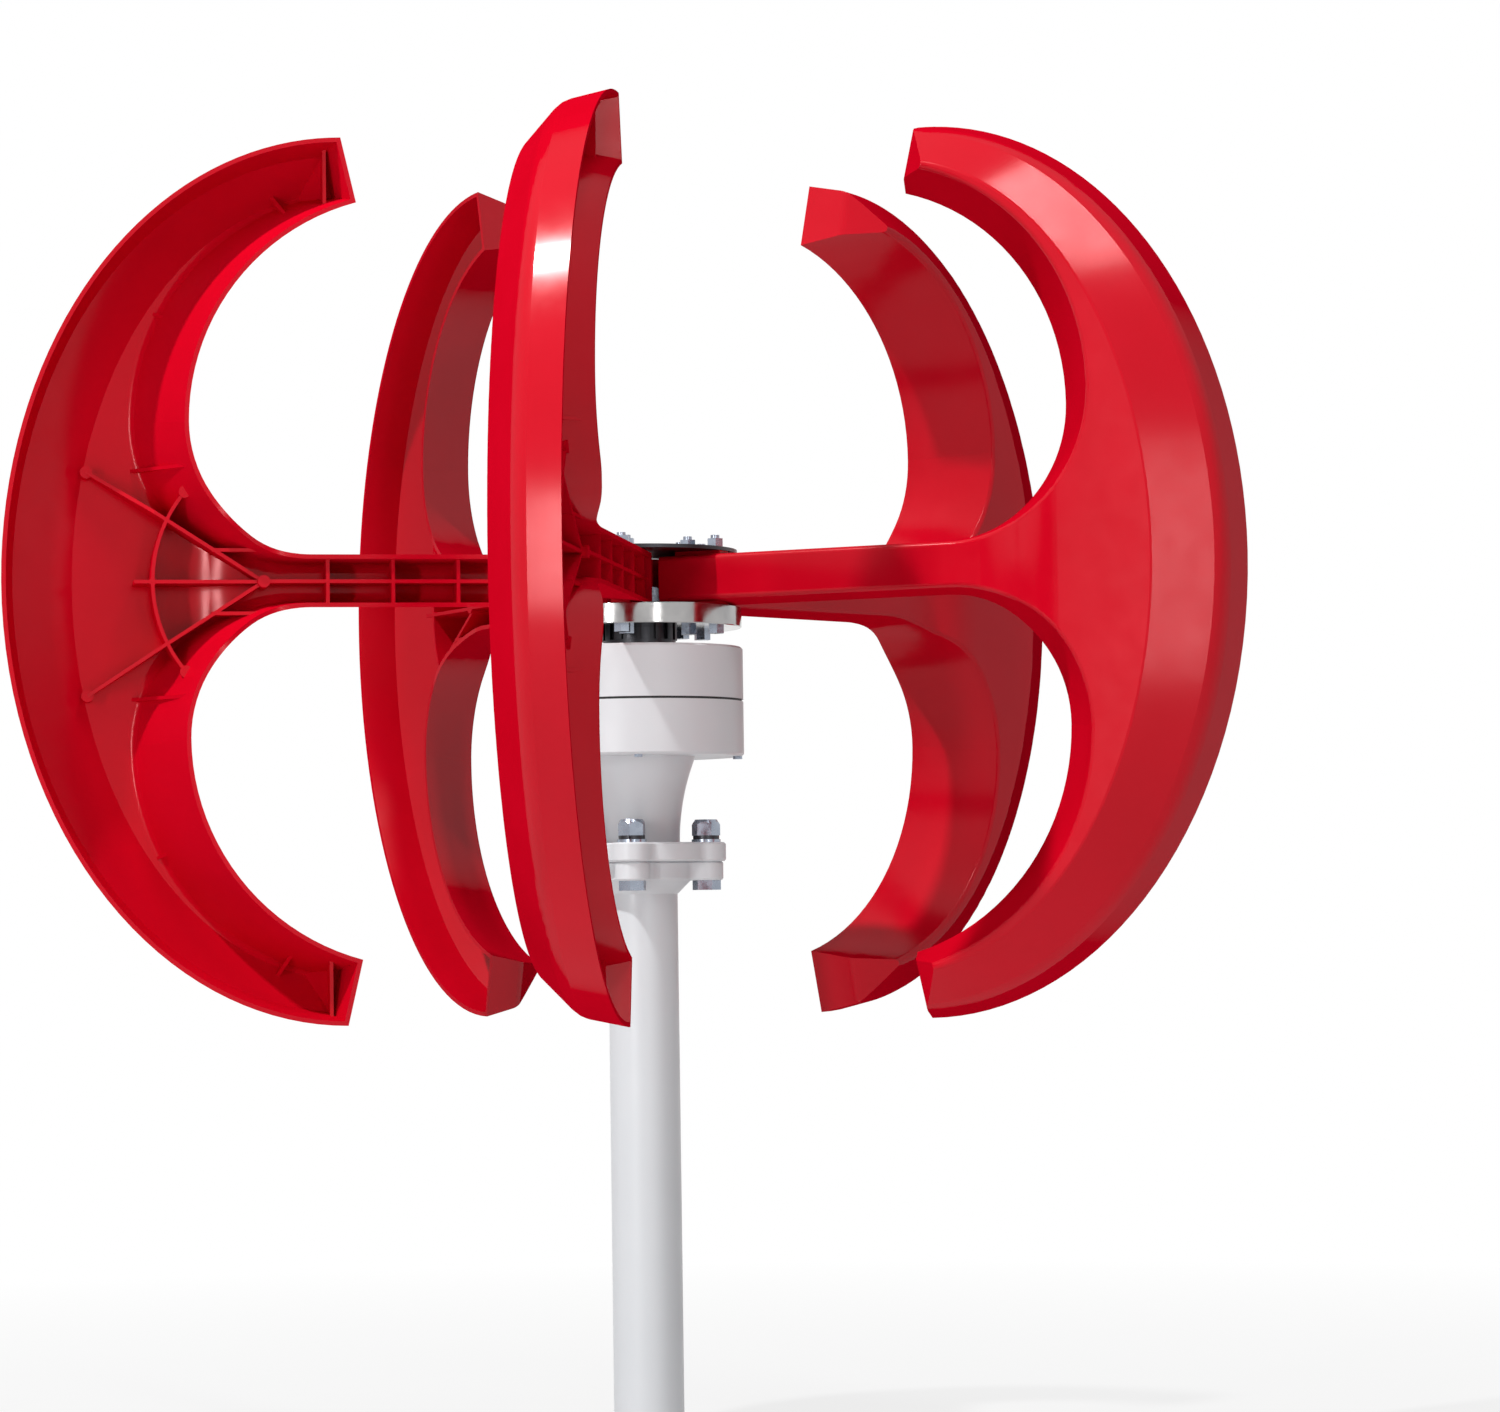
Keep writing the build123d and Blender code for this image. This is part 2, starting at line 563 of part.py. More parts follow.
def shaft():
    """Stepped shaft: threaded end, hub seat, upper bearing, rotor seat, lower bearing."""
    top = DISC_TOP + SHAFT_WASHER_THICKNESS + SHAFT_NUT_HEIGHT + SHAFT_END_OUT
    body = rod(SHAFT_END_RADIUS, top, DISC_TOP)
    body = body + rod(SHAFT_RADIUS, DISC_TOP, UPPER_BEARING_BOTTOM)
    body = body + rod(SHAFT_CORE_RADIUS, UPPER_BEARING_BOTTOM, LOWER_BEARING_TOP)
    body = body + rod(SHAFT_FOOT_RADIUS, LOWER_BEARING_TOP, LOWER_BEARING_BOTTOM)
    body = body - key_box(KEY_LENGTH, DISC_TOP - (DISC_THICKNESS - KEY_LENGTH) / 2)
    body = body - rotor_key_box()
    groove = tube(SHAFT_CORE_RADIUS, SHAFT_CORE_RADIUS - CIRCLIP_THICKNESS,
                  ROTOR_BOTTOM, ROTOR_BOTTOM - CIRCLIP_THICKNESS)
    return body - groove


def rotor_key_box():
    """The block of the key that drives the magnet rotor."""
    return Pos(SHAFT_CORE_RADIUS - KEY_SINK, 0, ROTOR_TOP) * Box(
        KEY_SINK + KEY_HEIGHT, KEY_WIDTH, ROTOR_HEIGHT,
        align=(Align.MIN, Align.CENTER, Align.MAX))


def hub_key():
    return key_box(KEY_LENGTH, DISC_TOP - (DISC_THICKNESS - KEY_LENGTH) / 2)


def shaft_nut():
    bottom = DISC_TOP + SHAFT_WASHER_THICKNESS
    return hexagon(SHAFT_NUT_FLATS, bottom + SHAFT_NUT_HEIGHT, bottom, SHAFT_END_RADIUS)


def shaft_washer():
    return tube(SHAFT_WASHER_RADIUS, SHAFT_END_RADIUS, DISC_TOP + SHAFT_WASHER_THICKNESS, DISC_TOP)


def slotted_locknut():
    """Round nut under the disc with wrench slots round its rim."""
    nut = tube(LOCKNUT_RADIUS, SHAFT_RADIUS, DISC_BOTTOM, DISC_BOTTOM - LOCKNUT_HEIGHT)
    slot = Pos(LOCKNUT_RADIUS - LOCKNUT_SLOT_DEPTH, 0, DISC_BOTTOM) * Box(
        LOCKNUT_SLOT_DEPTH * 2, LOCKNUT_SLOT_WIDTH, LOCKNUT_HEIGHT * 2,
        align=(Align.MIN, Align.CENTER, Align.CENTER))
    return nut - around_axis(slot, LOCKNUT_SLOTS)


def flinger_ring():
    return tube(FLINGER_RADIUS, SHAFT_RADIUS, DISC_BOTTOM - LOCKNUT_HEIGHT, BODY_TOP + FLINGER_GAP)


# ---------------------------------------------------------------- bearings
def bearing(shaft_radius, outer_radius, top, width):
    """A roller bearing as inner ring, outer ring and rollers held between the rings' lips."""
    roller = (outer_radius - shaft_radius) * ROLLER_SHARE
    track = (outer_radius + shaft_radius) / 2
    lip = width * ROLLER_LIP
    race = tube(track + roller + ROLLER_CLEARANCE, track - roller - ROLLER_CLEARANCE,
                top - lip, top - width + lip)
    ring_wall = (outer_radius - shaft_radius) * RING_SHARE
    inner = tube(shaft_radius + ring_wall, shaft_radius, top, top - width) - race
    outer = tube(outer_radius, outer_radius - ring_wall, top, top - width) - race
    roller_top = top - lip - ROLLER_CLEARANCE
    roller_bottom = top - width + lip + ROLLER_CLEARANCE
    rollers = around_axis(rod(roller, roller_top, roller_bottom, track), ROLLER_COUNT)
    return inner, outer, rollers


# ---------------------------------------------------------------- generator
def upper_case():
    """Upper half of the generator case with the seat of the upper bearing and the seal."""
    cup = tube(BODY_RADIUS, CAVITY_RADIUS, BODY_TOP, BODY_SEAM)
    cup = cup + tube(BODY_RADIUS, SHAFT_RADIUS, BODY_TOP, CAVITY_TOP)
    cup = cup + tube(UPPER_BEARING_OUTER + BEARING_WALL, UPPER_BEARING_OUTER,
                     CAVITY_TOP, UPPER_BEARING_BOTTOM)
    cup = cup - rod(SEAL_RADIUS, BODY_TOP, CAVITY_TOP)
    hole = rod(CASE_SCREW / 2, CAVITY_TOP, BODY_SEAM, CASE_SCREW_RADIUS)
    cup = cup - around_axis(hole, CASE_SCREW_COUNT)
    rim = [e for e in cup.edges().filter_by(GeomType.CIRCLE)
           if abs(e.radius - BODY_RADIUS) < 1e-3 and abs(e.center().Z - BODY_TOP) < 1e-3]
    return chamfer(rim, BODY_EDGE)


def stem_hollow():
    """The cable's way through the stem: a straight bore that opens out under the case."""
    bore = STEM_FOOT_RADIUS - STEM_WALL
    mouth = STEM_TOP_RADIUS - STEM_WALL
    depth = (mouth - bore) * 2
    hollow = rod(bore, BODY_BOTTOM, FLANGE_BOTTOM)
    return hollow + Pos(0, 0, BODY_BOTTOM - depth / 2) * Cone(bore, mouth, depth)


def stem_profile():
    """Half section of the stem under the case: wide at the case, waisted, then straight."""
    top = (STEM_TOP_RADIUS, BODY_BOTTOM + BODY_EDGE)
    foot = (STEM_FOOT_RADIUS, FLANGE_TOP)
    with BuildSketch(Plane.XZ) as section:
        with BuildLine():
            Line((0, foot[1]), foot)
            TangentArc(foot, top, tangent=(0, 1))
            Line(top, (0, top[1]))
            Line((0, top[1]), (0, foot[1]))
        make_face()
    return section.sketch


def lug_outline(disc_radius, lug_radius):
    """A round flange with its bolt lugs, blended into the disc."""
    lug = Pos(LUG_CIRCLE, 0) * Circle(lug_radius)
    bar = Rectangle(LUG_CIRCLE, 2 * lug_radius, align=(Align.MIN, Align.CENTER))
    outline = Sketch() + Circle(disc_radius)
    for i in range(LUG_COUNT):
        outline = outline + Rot(0, 0, LUG_ANGLE + i * 360.0 / LUG_COUNT) * (lug + bar)
    return offset(offset(outline, LUG_BLEND), -LUG_BLEND)


def lug_holes(top, bottom):
    hole = rod(FLANGE_BOLT / 2 + FLANGE_BOLT_CLEARANCE, top, bottom, LUG_CIRCLE)
    return around_axis(hole, LUG_COUNT, LUG_ANGLE)


def flange(disc_radius, lug_radius, top, bottom):
    """A lugged flange plate with softened edges and its bolt holes."""
    plate = Pos(0, 0, bottom) * extrude(lug_outline(disc_radius, lug_radius), amount=top - bottom)
    ends = plate.edges().group_by(Axis.Z)
    plate = chamfer(ends[0] + ends[-1], FLANGE_EDGE)
    return plate - lug_holes(top, bottom)


def lower_case():
    """Lower half of the case, cast in one with the hollow stem and its flange."""
    cup = tube(BODY_RADIUS, CAVITY_RADIUS, SEAM_BOTTOM, BODY_BOTTOM)
    cup = cup + rod(BODY_RADIUS, CAVITY_BOTTOM, BODY_BOTTOM)
    cup = cup + tube(BODY_RADIUS, CORE_RADIUS - CORE_RING / 2, ROTOR_BOTTOM, CAVITY_BOTTOM)
    cup = cup + tube(LOWER_BEARING_OUTER + BEARING_WALL, LOWER_BEARING_OUTER,
                     LOWER_BEARING_TOP, CAVITY_BOTTOM)
    rims = [e for e in cup.edges().filter_by(GeomType.CIRCLE)
            if abs(e.radius - BODY_RADIUS) < 1e-3 and abs(e.center().Z - BODY_BOTTOM) < 1e-3]
    cup = chamfer(rims, BODY_EDGE)
    stem = revolve(stem_profile(), Axis.Z)
    stem = stem + flange(FLANGE_DISC_RADIUS, LUG_RADIUS, FLANGE_TOP, FLANGE_BOTTOM)
    body = cup + stem - stem_hollow()
    screw = rod(CASE_SCREW / 2 + FIT_GAP, SEAM_BOTTOM, BODY_BOTTOM, CASE_SCREW_RADIUS)
    body = body - around_axis(screw, CASE_SCREW_COUNT)
    relief = (LOWER_BEARING_OUTER + SHAFT_FOOT_RADIUS) / 2
    body = body - rod(relief, CAVITY_BOTTOM, CAVITY_BOTTOM - BEARING_RELIEF)
    return body - rod(CABLE_HOLE_RADIUS, CAVITY_BOTTOM, BODY_BOTTOM, CABLE_HOLE_OFFSET)


def case_gasket():
    """Flat seal between the halves, set in a little so that the seam reads dark."""
    ring = tube(BODY_RADIUS - SEAM_SET_IN, CAVITY_RADIUS, BODY_SEAM, SEAM_BOTTOM)
    hole = rod(CASE_SCREW / 2 + FIT_GAP, BODY_SEAM, SEAM_BOTTOM, CASE_SCREW_RADIUS)
    return ring - around_axis(hole, CASE_SCREW_COUNT)


def case_screw():
    """Hexagon screw from below, up into the wall of the upper case."""
    end = BODY_SEAM + 4 * CASE_SCREW
    head = hexagon(CASE_SCREW_FLATS, BODY_BOTTOM, BODY_BOTTOM - CASE_SCREW_HEAD)
    return Pos(CASE_SCREW_RADIUS, 0, 0) * (head + rod(CASE_SCREW / 2, end, BODY_BOTTOM))


def shaft_seal():
    """Lip seal in the top of the case; the lip clears the shaft by a hair."""
    bottom = CAVITY_TOP + FIT_GAP
    return tube(SEAL_RADIUS, SHAFT_RADIUS + SEAL_LIP, bottom + SEAL_HEIGHT, bottom)


def cable_grommet():
    """Rubber bush in the floor of the case, over the hollow of the stem."""
    bore = CABLE_HOLE_RADIUS - GROMMET_WALL
    bush = tube(CABLE_HOLE_RADIUS, bore, CAVITY_BOTTOM, BODY_BOTTOM)
    collar = tube(CABLE_HOLE_RADIUS + GROMMET_COLLAR, bore, CAVITY_BOTTOM + GROMMET_WALL,
                  CAVITY_BOTTOM)
    return Pos(CABLE_HOLE_OFFSET, 0, 0) * (bush + collar)


def magnet_yoke():
    """Steel ring that carries the magnets, with its keyway."""
    return tube(YOKE_RADIUS, SHAFT_CORE_RADIUS, ROTOR_TOP, ROTOR_BOTTOM) - rotor_key_box()


def magnets():
    """Arc magnets on the yoke, evenly spaced."""
    sweep = 360.0 / MAGNET_COUNT - MAGNET_GAP_ANGLE
    ring = Circle(MAGNET_RADIUS) - Circle(YOKE_RADIUS)
    reach = 2 * MAGNET_RADIUS
    half = tan(radians(sweep / 2)) * reach
    sector = make_face(Polyline((0, 0), (reach, -half), (reach, half), close=True))
    magnet = Pos(0, 0, ROTOR_BOTTOM) * extrude(ring & sector, amount=ROTOR_HEIGHT)
    return around_axis(magnet, MAGNET_COUNT)


def stator_core():
    """Laminated ring with inward teeth that end in wide shoes."""
    bore = MAGNET_RADIUS + AIR_GAP
    outline = Circle(CORE_RADIUS) - Circle(CORE_RADIUS - CORE_RING)
    tooth = Pos(bore, 0) * Rectangle(
        CORE_RADIUS - CORE_RING / 2 - bore, TOOTH_WIDTH, align=(Align.MIN, Align.CENTER))
    shoe = Pos(bore, 0) * Rectangle(
        TOOTH_TIP * 2, TOOTH_TIP_WIDTH, align=(Align.CENTER, Align.CENTER))
    for i in range(TOOTH_COUNT):
        outline = outline + Rot(0, 0, i * 360.0 / TOOTH_COUNT) * (tooth + shoe)
    outline = outline - Circle(bore)
    return Pos(0, 0, ROTOR_BOTTOM) * extrude(outline, amount=ROTOR_HEIGHT)


def coils():
    """One winding round each tooth."""
    bore = MAGNET_RADIUS + AIR_GAP
    start = bore + TOOTH_TIP + FIT_GAP
    end = CORE_RADIUS - CORE_RING - COIL_WIDTH / 2
    middle = (ROTOR_TOP + ROTOR_BOTTOM) / 2
    height = ROTOR_HEIGHT + 2 * COIL_OVERHANG
    width = TOOTH_WIDTH + 2 * COIL_WIDTH
    winding = Pos((start + end) / 2, 0, middle) * (
        Box(end - start, width, height) - Box(end - start, TOOTH_WIDTH, ROTOR_HEIGHT))
    return around_axis(winding, TOOTH_COUNT)


def rotor_circlip():
    """Snap ring in the shaft groove under the magnet yoke."""
    ring = tube(CIRCLIP_RADIUS, SHAFT_CORE_RADIUS - CIRCLIP_THICKNESS,
                ROTOR_BOTTOM, ROTOR_BOTTOM - CIRCLIP_THICKNESS)
    gap = Pos(SHAFT_CORE_RADIUS, 0, ROTOR_BOTTOM) * Box(KEY_WIDTH, KEY_HEIGHT, KEY_WIDTH)
    return ring - gap


# ---------------------------------------------------------------- flange joint and mast
def mast_flange():
    """Lugged steel flange with the collar that is welded to the mast tube."""
    plate = flange(MAST_FLANGE_DISC_RADIUS, MAST_LUG_RADIUS, FLANGE_BOTTOM, MAST_TOP)
    collar = Pos(0, 0, MAST_TOP - MAST_COLLAR_HEIGHT / 2) * Cone(
        MAST_RADIUS, MAST_COLLAR_RADIUS, MAST_COLLAR_HEIGHT)
    bore = rod(STEM_FOOT_RADIUS - STEM_WALL, FLANGE_BOTTOM, TUBE_TOP)
    return plate + collar - bore


def mast_tube():
    return tube(MAST_RADIUS, MAST_BORE, TUBE_TOP, -HUB_HEIGHT)


def flange_bolt():
    """Hexagon bolt from below through both flanges."""
    end = LOCK_NUT_TOP - LOCK_NUT_CAP
    head = hexagon(FLANGE_HEAD_FLATS, MAST_TOP, MAST_TOP - FLANGE_HEAD_HEIGHT)
    return head + rod(FLANGE_BOLT / 2, end, MAST_TOP)


def flange_washer():
    return tube(FLANGE_WASHER_RADIUS, FLANGE_BOLT / 2,
                FLANGE_TOP + FLANGE_WASHER_THICKNESS, FLANGE_TOP)


def spring_washer():
    bottom = FLANGE_TOP + FLANGE_WASHER_THICKNESS
    top = bottom + SPRING_WASHER_THICKNESS
    ring = tube(SPRING_WASHER_RADIUS, FLANGE_BOLT / 2, top, bottom)
    gap = Pos(0, 0, bottom) * Box(
        2 * SPRING_WASHER_RADIUS, SPRING_WASHER_THICKNESS / 2, 2 * SPRING_WASHER_THICKNESS,
        align=(Align.MIN, Align.CENTER, Align.CENTER))
    return ring - gap


def lock_nut():
    """Hexagon nut with a domed collar."""
    bottom = LOCK_NUT_TOP - LOCK_NUT_HEIGHT
    top = LOCK_NUT_TOP
    blank = hexagon(FLANGE_HEAD_FLATS, top, bottom)
    dome = chamfer(rod(FLANGE_HEAD_FLATS / sqrt(3), top, bottom).edges().group_by(Axis.Z)[-1],
                   LOCK_NUT_HEIGHT / 3, LOCK_NUT_HEIGHT / 5)
    bore = rod(FLANGE_BOLT / 2, top - LOCK_NUT_CAP, bottom)
    return (blank & dome) - bore


def flange_set(piece):
    """One copy of a flange fastener on each lug."""
    return around_axis(Pos(LUG_CIRCLE, 0, 0) * piece, LUG_COUNT, LUG_ANGLE)


# ---------------------------------------------------------------- assembly
def assembly():
    """Every node of the turbine, by name, measured from the middle of the arms."""
    upper = bearing(SHAFT_RADIUS, UPPER_BEARING_OUTER, UPPER_BEARING_TOP, UPPER_BEARING_WIDTH)
    lower = bearing(SHAFT_FOOT_RADIUS, LOWER_BEARING_OUTER, LOWER_BEARING_TOP,
                    LOWER_BEARING_WIDTH)
    nodes = {}
    one_blade = blade()
    for i, turned in enumerate(around_axis(one_blade, BLADE_COUNT, FIRST_BLADE_ANGLE)):
        nodes[f"blade_{i + 1}"] = turned
    nodes["hub_top_plate"] = hub_top_plate()
    nodes["hub_disc"] = hub_disc() - hub_key()
    nodes["hub_bolts"] = [place * hub_bolt() for place in bolt_positions()]
    nodes["hub_nuts"] = [place * hub_nut() for place in bolt_positions()]
    nodes["shaft"] = shaft()
    nodes["hub_key"] = hub_key()
    nodes["rotor_key"] = rotor_key_box()
    nodes["shaft_washer"] = shaft_washer()
    nodes["shaft_nut"] = shaft_nut()
    nodes["slotted_locknut"] = slotted_locknut()
    nodes["flinger_ring"] = flinger_ring()
    nodes["magnet_yoke"] = magnet_yoke()
    nodes["magnets"] = magnets()
    nodes["rotor_circlip"] = rotor_circlip()
    nodes["upper_bearing_inner_ring"] = upper[0]
    nodes["upper_bearing_rollers"] = upper[2]
    nodes["lower_bearing_inner_ring"] = lower[0]
    nodes["lower_bearing_rollers"] = lower[2]
    nodes["upper_bearing_outer_ring"] = upper[1]
    nodes["lower_bearing_outer_ring"] = lower[1]
    nodes["upper_case"] = upper_case()
    nodes["lower_case"] = lower_case()
    nodes["case_gasket"] = case_gasket()
    nodes["case_screws"] = around_axis(case_screw(), CASE_SCREW_COUNT)
    nodes["shaft_seal"] = shaft_seal()
    nodes["stator_core"] = stator_core()
    nodes["stator_coils"] = coils()
    nodes["cable_grommet"] = cable_grommet()
    nodes["flange_bolts"] = flange_set(flange_bolt())
    nodes["flange_washers"] = flange_set(flange_washer())
    nodes["flange_spring_washers"] = flange_set(spring_washer())
    nodes["flange_lock_nuts"] = flange_set(lock_nut())
    nodes["mast_flange"] = mast_flange()
    nodes["mast_tube"] = mast_tube()
    return nodes


os.makedirs("parts", exist_ok=True)
for name, shape in assembly().items():
    solids = shape if isinstance(shape, list) else [shape]
    lifted = [Pos(0, 0, HUB_HEIGHT) * solid for item in solids for solid in item.solids()]
    export_step(Compound(children=lifted) if len(lifted) > 1 else lifted[0], f"parts/{name}.step")
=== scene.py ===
import json
from math import cos, sin

import bpy
from mathutils import Matrix, Vector

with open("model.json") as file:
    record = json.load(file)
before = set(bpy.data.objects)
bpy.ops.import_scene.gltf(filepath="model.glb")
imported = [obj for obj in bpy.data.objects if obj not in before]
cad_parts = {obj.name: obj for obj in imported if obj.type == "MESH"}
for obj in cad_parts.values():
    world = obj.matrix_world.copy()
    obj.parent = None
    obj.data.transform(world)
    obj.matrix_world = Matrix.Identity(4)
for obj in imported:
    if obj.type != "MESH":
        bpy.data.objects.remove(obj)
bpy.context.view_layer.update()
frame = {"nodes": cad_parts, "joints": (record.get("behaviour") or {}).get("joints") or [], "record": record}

# ---------------------------------------------------------------- camera
HUB_HEIGHT = frame["joints"][0]["pos_m"][2]
CAMERA_X = 0.0755
CAMERA_DISTANCE = 2.9957
CAMERA_DROP = 0.2325          # camera below the middle of the arms
CAMERA_PITCH = 0.0487         # radians, upwards
CAMERA_ROLL = 0.0140          # radians, right side down
CAMERA_LENS = 104.54
CAMERA_SENSOR = 36.0
CAMERA_REACH = 50.0           # how far the camera sees


def make_camera():
    data = bpy.data.cameras.new("camera")
    data.lens = CAMERA_LENS
    data.sensor_width = CAMERA_SENSOR
    data.clip_end = CAMERA_REACH
    camera = bpy.data.objects.new("camera", data)
    bpy.context.scene.collection.objects.link(camera)
    forward = Vector((0.0, cos(CAMERA_PITCH), sin(CAMERA_PITCH)))
    upright = Vector((0.0, -sin(CAMERA_PITCH), cos(CAMERA_PITCH)))
    side = Vector((1.0, 0.0, 0.0))
    right = side * cos(CAMERA_ROLL) - upright * sin(CAMERA_ROLL)
    up = upright * cos(CAMERA_ROLL) + side * sin(CAMERA_ROLL)
    basis = Matrix((right, up, -forward)).transposed()
    place = Vector((CAMERA_X, -CAMERA_DISTANCE, HUB_HEIGHT - CAMERA_DROP))
    camera.matrix_world = Matrix.Translation(place) @ basis.to_4x4()
    bpy.context.scene.camera = camera


# ---------------------------------------------------------------- materials
GLOSS = 0.34                  # specular level of the red plastic seen face on
GLOSS_FACE_ON = 0.25          # facing values between which that gloss fades out
GLOSS_GONE = 0.6
RUBBER_VARIATION = 1.5        # lightest rubber against darkest


class Nodes:
    """A small helper for building one material's node tree."""

    def __init__(self, name):
        self.material = bpy.data.materials.new(name)
        self.material.use_nodes = True
        self.tree = self.material.node_tree
        self.shader = self.tree.nodes["Principled BSDF"]

    def add(self, kind, **values):
        node = self.tree.nodes.new(kind)
        for key, value in values.items():
            if key in node.inputs:
                node.inputs[key].default_value = value
            else:
                setattr(node, key, value)
        return node

    def link(self, source, target):
        self.tree.links.new(source, target)

    def set(self, **values):
        for key, value in values.items():
            self.shader.inputs[key.replace("_", " ")].default_value = value

    def place(self):
        return self.add("ShaderNodeTexCoord").outputs["Object"]

    def noise(self, vector, scale, detail=3.0, roughness=0.5):
        node = self.add("ShaderNodeTexNoise", Scale=scale, Detail=detail, Roughness=roughness)
        self.link(vector, node.inputs["Vector"])
        return node.outputs["Fac"]

    def spread(self, value, low, high, start=0.3, end=0.7):
        node = self.add("ShaderNodeMapRange")
        limits = {"From Min": start, "From Max": end, "To Min": low, "To Max": high}
        for key, number in limits.items():
            node.inputs[key].default_value = number
        self.link(value, node.inputs["Value"])
        return node.outputs["Result"]

    def colours(self, value, first, second, start=0.3, end=0.7):
        node = self.add("ShaderNodeValToRGB")
        low, high = node.color_ramp.elements
        low.position, low.color = start, (*first, 1.0)
        high.position, high.color = end, (*second, 1.0)
        self.link(value, node.inputs["Fac"])
        self.link(node.outputs["Color"], self.shader.inputs["Base Color"])

    def bump(self, height, strength, distance):
        node = self.add("ShaderNodeBump", Strength=strength, Distance=distance)
        self.link(height, node.inputs["Height"])
        self.link(node.outputs["Normal"], self.shader.inputs["Normal"])


def red_plastic():
    n = Nodes("red_plastic")
    place = n.place()
    n.colours(n.noise(place, 14.0), (0.58, 0.001, 0.012), (0.62, 0.0015, 0.015))
    n.link(n.spread(n.noise(place, 60.0, 4.0), 0.15, 0.20), n.shader.inputs["Roughness"])
    n.set(Specular_Tint=(1.0, 0.5, 0.5, 1.0))
    facing = n.add("ShaderNodeLayerWeight").outputs["Facing"]
    gloss = n.spread(facing, GLOSS, 0.0, GLOSS_FACE_ON, GLOSS_GONE)
    n.link(gloss, n.shader.inputs["Specular IOR Level"])
    n.bump(n.noise(place, 900.0, 2.0), 0.04, 0.0001)
    return n.material


def white_paint():
    n = Nodes("white_paint")
    place = n.place()
    n.colours(n.noise(place, 12.0), (0.69, 0.71, 0.735), (0.71, 0.73, 0.755))
    n.link(n.spread(n.noise(place, 40.0), 0.34, 0.46), n.shader.inputs["Roughness"])
    n.bump(n.noise(place, 900.0, 2.0), 0.15, 0.0002)
    return n.material


def metal(name, dark, light, rough, grain=60.0):
    n = Nodes(name)
    place = n.place()
    n.set(Metallic=1.0)
    n.colours(n.noise(place, grain), dark, light)
    n.link(n.spread(n.noise(place, grain * 4), rough[0], rough[1]), n.shader.inputs["Roughness"])
    n.bump(n.noise(place, grain * 12), 0.08, 0.0001)
    return n.material


def rubber(name, colour):
    n = Nodes(name)
    place = n.place()
    light = tuple(c * RUBBER_VARIATION for c in colour)
    n.colours(n.noise(place, 80.0), colour, light)
    n.link(n.spread(n.noise(place, 200.0), 0.55, 0.7), n.shader.inputs["Roughness"])
    return n.material


# name: darkest colour, lightest colour, lowest and highest roughness
METALS = {
    "bare_aluminium": ((0.33, 0.325, 0.325), (0.44, 0.43, 0.425), (0.1, 0.16)),
    "dark_steel": ((0.042, 0.042, 0.047), (0.056, 0.056, 0.061), (0.32, 0.42)),
    "zinc_steel": ((0.25, 0.28, 0.34), (0.38, 0.42, 0.49), (0.2, 0.34)),
    "ground_steel": ((0.52, 0.52, 0.53), (0.62, 0.62, 0.63), (0.22, 0.34)),
    "magnet_nickel": ((0.62, 0.60, 0.56), (0.70, 0.69, 0.66), (0.2, 0.3)),
    "core_steel": ((0.12, 0.12, 0.13), (0.20, 0.20, 0.21), (0.4, 0.55)),
    "copper_wire": ((0.55, 0.22, 0.10), (0.72, 0.34, 0.18), (0.25, 0.4)),
}
SLOTS = {
    "red_plastic": red_plastic(),
    "white_paint": white_paint(),
    "black_rubber": rubber("black_rubber", (0.02, 0.02, 0.021)),
}
SLOTS.update((name, metal(name, *values)) for name, values in METALS.items())


def dress_cad_nodes():
    for part in frame["record"]["subparts"]:
        node = frame["nodes"][part["node"]]
        material = SLOTS[part["material_slot"]]
        for slot in node.material_slots:
            slot.material = material


# ---------------------------------------------------------------- stage and light
FLOOR_HALF = 15.0
SHADOW_SHARE = 0.8            # share of plain white near the object, where its shadow shows
SHADOW_REACH = (0.7, 2.2)     # distances between which the floor turns plain white
WORLD_LIGHT = 0.1             # what the world adds to the lamps
# name: place from the middle of the arms, width and height, watts
LAMPS = {
    "key": ((-1.90, -1.42, 3.28), (0.15, 0.15), 125),
    "top_strip": ((0.66, -1.27, 2.4), (0.18, 1.5), 22),
    "left_strip": ((-1.73, -2.78, 0.06), (0.16, 1.1), 22),
    "right_strip": ((1.14, -2.98, 0.2), (0.25, 1.5), 10),
}


def seen_directly(tree):
    """1 for what the camera, mirrors and glass see, 0 for what lights the object."""
    path = tree.nodes.new("ShaderNodeLightPath")
    value = path.outputs["Is Camera Ray"]
    for ray in ("Is Glossy Ray", "Is Transmission Ray"):
        either = tree.nodes.new("ShaderNodeMath")
        either.operation = "MAXIMUM"
        tree.links.new(value, either.inputs[0])
        tree.links.new(path.outputs[ray], either.inputs[1])
        value = either.outputs[0]
    return value


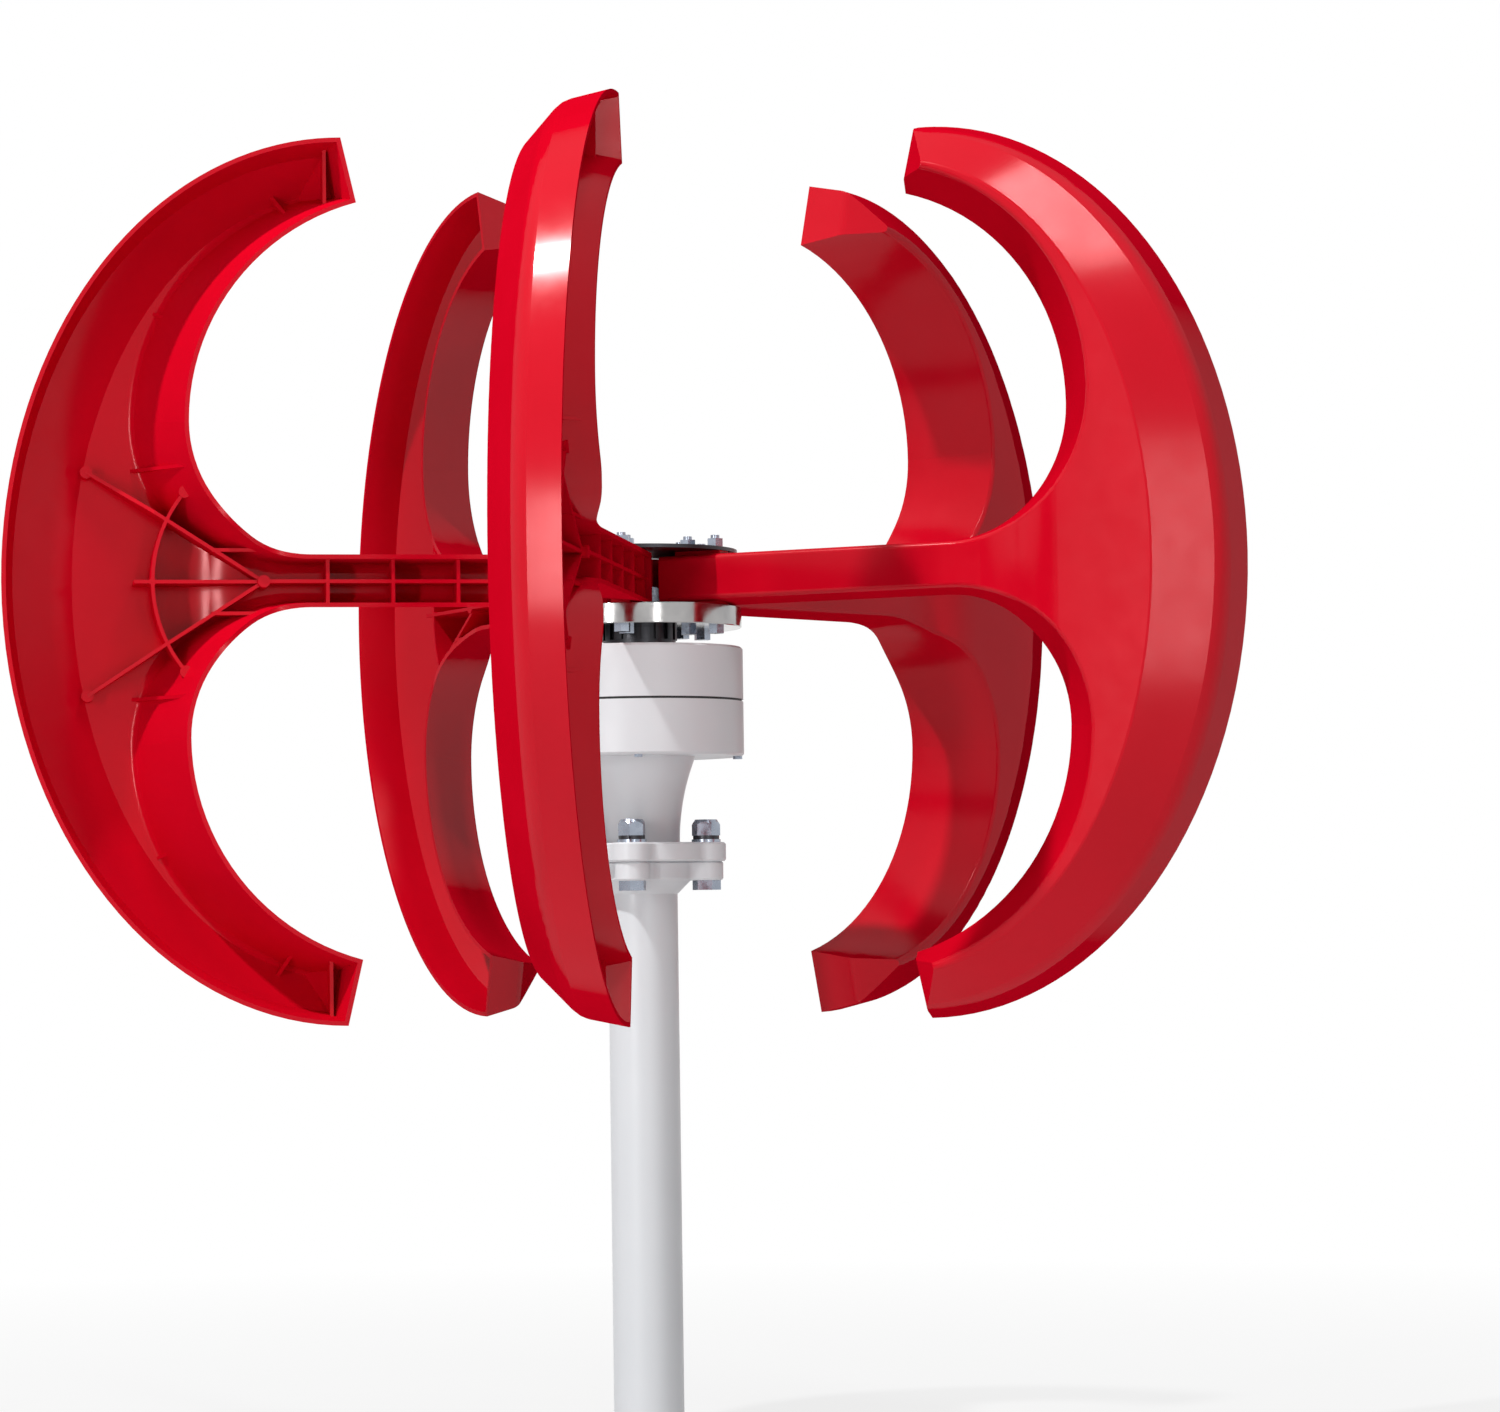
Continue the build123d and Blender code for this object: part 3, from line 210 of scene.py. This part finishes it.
def white_for_camera(tree, plain, share):
    """Adds plain white, in the given share, to what the camera, mirrors and glass see."""
    amount = tree.nodes.new("ShaderNodeMath")
    amount.operation = "MULTIPLY"
    tree.links.new(seen_directly(tree), amount.inputs[0])
    tree.links.new(share, amount.inputs[1])
    white = tree.nodes.new("ShaderNodeEmission")
    white.inputs["Strength"].default_value = 1.0
    mix = tree.nodes.new("ShaderNodeMixShader")
    tree.links.new(amount.outputs[0], mix.inputs[0])
    tree.links.new(plain, mix.inputs[1])
    tree.links.new(white.outputs[0], mix.inputs[2])
    return mix.outputs[0]


def make_floor():
    mesh = bpy.data.meshes.new("floor")
    low, high = -FLOOR_HALF, FLOOR_HALF
    corners = [(low, low, 0), (high, low, 0), (high, high, 0), (low, high, 0)]
    mesh.from_pydata(corners, [], [(0, 1, 2, 3)])
    floor = bpy.data.objects.new("floor", mesh)
    bpy.context.scene.collection.objects.link(floor)
    n = Nodes("floor_paint")
    place = n.place()
    n.colours(n.noise(place, 3.0), (0.76, 0.76, 0.76), (0.80, 0.80, 0.80))
    n.set(Roughness=0.8)
    away = n.add("ShaderNodeVectorMath", operation="LENGTH")
    n.link(place, away.inputs[0])
    share = n.spread(away.outputs["Value"], SHADOW_SHARE, 1.0, *SHADOW_REACH)
    output = n.tree.nodes["Material Output"]
    n.link(white_for_camera(n.tree, n.shader.outputs[0], share), output.inputs["Surface"])
    mesh.materials.append(n.material)


def make_world():
    world = bpy.data.worlds.new("world")
    world.use_nodes = True
    tree = world.node_tree
    back = tree.nodes["Background"]
    back.inputs["Color"].default_value = (1.0, 1.0, 1.0, 1.0)
    strength = tree.nodes.new("ShaderNodeMapRange")
    strength.inputs["To Min"].default_value = WORLD_LIGHT
    strength.inputs["To Max"].default_value = 1.0
    tree.links.new(seen_directly(tree), strength.inputs["Value"])
    tree.links.new(strength.outputs["Result"], back.inputs["Strength"])
    bpy.context.scene.world = world


def make_lamp(name, place, aim, size, power):
    data = bpy.data.lights.new(name, "AREA")
    data.shape = "RECTANGLE"
    data.size, data.size_y = size
    data.energy = power
    lamp = bpy.data.objects.new(name, data)
    bpy.context.scene.collection.objects.link(lamp)
    lamp.matrix_world = Matrix.Translation(place) @ (
        (aim - place).to_track_quat("-Z", "Y").to_matrix().to_4x4())


def make_light():
    target = Vector((0.0, 0.0, HUB_HEIGHT))
    for name, (place, size, power) in LAMPS.items():
        make_lamp(name, target + Vector(place), target, size, power)


make_camera()
dress_cad_nodes()
make_floor()
make_world()
make_light()
bpy.context.scene.view_settings.view_transform = "Standard"
